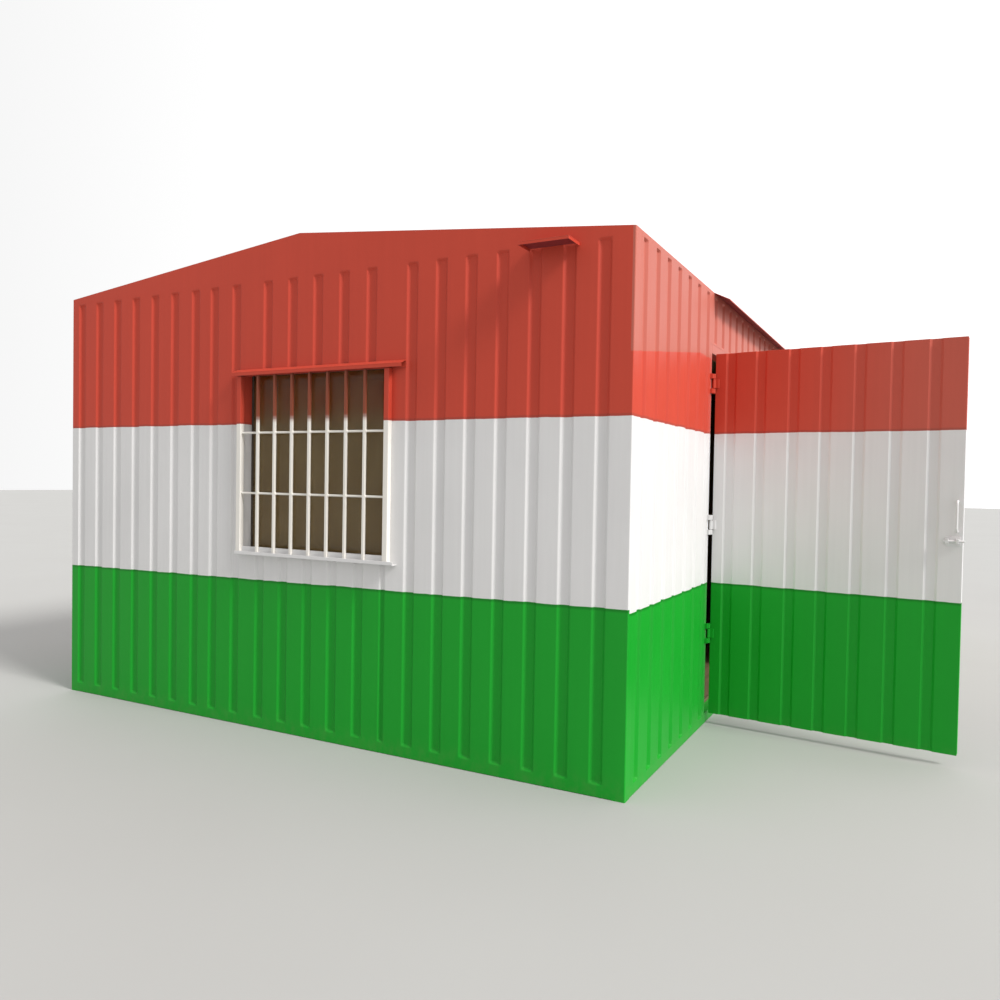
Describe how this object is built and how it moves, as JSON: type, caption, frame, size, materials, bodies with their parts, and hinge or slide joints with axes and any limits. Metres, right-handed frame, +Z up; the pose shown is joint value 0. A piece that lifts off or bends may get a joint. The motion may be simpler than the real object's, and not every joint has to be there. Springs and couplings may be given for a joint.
{
  "type": "office container",
  "caption": "Rectangular office container with pressed sheet walls painted in three bands, a low gable roof, a barred and glazed front window, and an outward-opening side door that stands open.",
  "frame": {"origin": "On the ground under the middle of the plan, on the underside of the middle floor joist.", "axes": "+Z up, +X along the front gable wall to the right, toward the long wall with the door, +Y from the front gable wall to the back wall, in metres."},
  "size_m": [4.9272, 6.22, 2.641],
  "materials": {
    "base_paint": "satin green paint on steel rail",
    "joist_steel": "dark primer on steel",
    "floor_board": "plywood floor board, worn",
    "post_paint": "satin paint in three bands: red, white and green",
    "wall_paint": "satin paint in three bands on pressed sheet: red, white and green",
    "gable_paint": "satin red paint on flat sheet",
    "lining_board": "brown lining board",
    "roof_sheet": "satin red paint on pressed sheet",
    "window_paint": "satin white paint, red near the top",
    "bar_paint": "satin white paint on square bar, red near the top",
    "window_glass": "brown tinted glass",
    "hood_paint": "satin red paint on folded sheet",
    "door_frame_paint": "satin paint in three bands on steel tube",
    "hinge_paint": "satin paint in the colour of the band it stands in",
    "door_paint": "satin paint in three bands on pressed sheet: red, white and green",
    "fitting_paint": "satin white paint on steel rod"
  },
  "bodies": {
    "cabin": {"base_end_rails": "base_paint", "base_side_rails": "base_paint", "floor_joists": "joist_steel", "floor_board": "floor_board", "front_left_post": "post_paint", "front_right_post": "post_paint", "back_left_post": "post_paint", "back_right_post": "post_paint", "front_wall_left": "wall_paint", "front_wall_right": "wall_paint", "front_wall_under_window": "wall_paint", "front_wall_over_window": "wall_paint", "front_gable": "gable_paint", "right_wall_near_door": "wall_paint", "right_wall_over_door": "wall_paint", "right_wall_past_door": "wall_paint", "left_wall": "wall_paint", "back_wall": "wall_paint", "back_gable": "gable_paint", "front_lining": "lining_board", "right_lining": "lining_board", "back_lining": "lining_board", "left_lining": "lining_board", "ceiling": "lining_board", "roof_left": "roof_sheet", "roof_right": "roof_sheet", "ridge_cap": "gable_paint", "window_posts": "window_paint", "window_bottom_rail": "window_paint", "window_grille": "bar_paint", "window_glass": "window_glass", "window_hood": "hood_paint", "window_sill": "window_paint", "vent_hood": "hood_paint", "door_canopy": "hood_paint", "door_jambs": "door_frame_paint", "door_head": "door_frame_paint", "door_threshold": "door_frame_paint", "door_hinge_brackets": "hinge_paint"},
    "door": {"door_sheet": "door_paint", "door_stiles": "door_frame_paint", "door_rails": "door_frame_paint", "door_handle": "fitting_paint", "door_bolt": "fitting_paint", "door_hinge_straps": "hinge_paint"}
  },
  "joints": [
    {"name": "door_swing", "type": "hinge", "parent": "cabin", "child": "door", "pos_m": [1.844, -1.698, 0], "axis": [0, 0, 1], "range_deg": [-70, 95.86]}
  ]
}
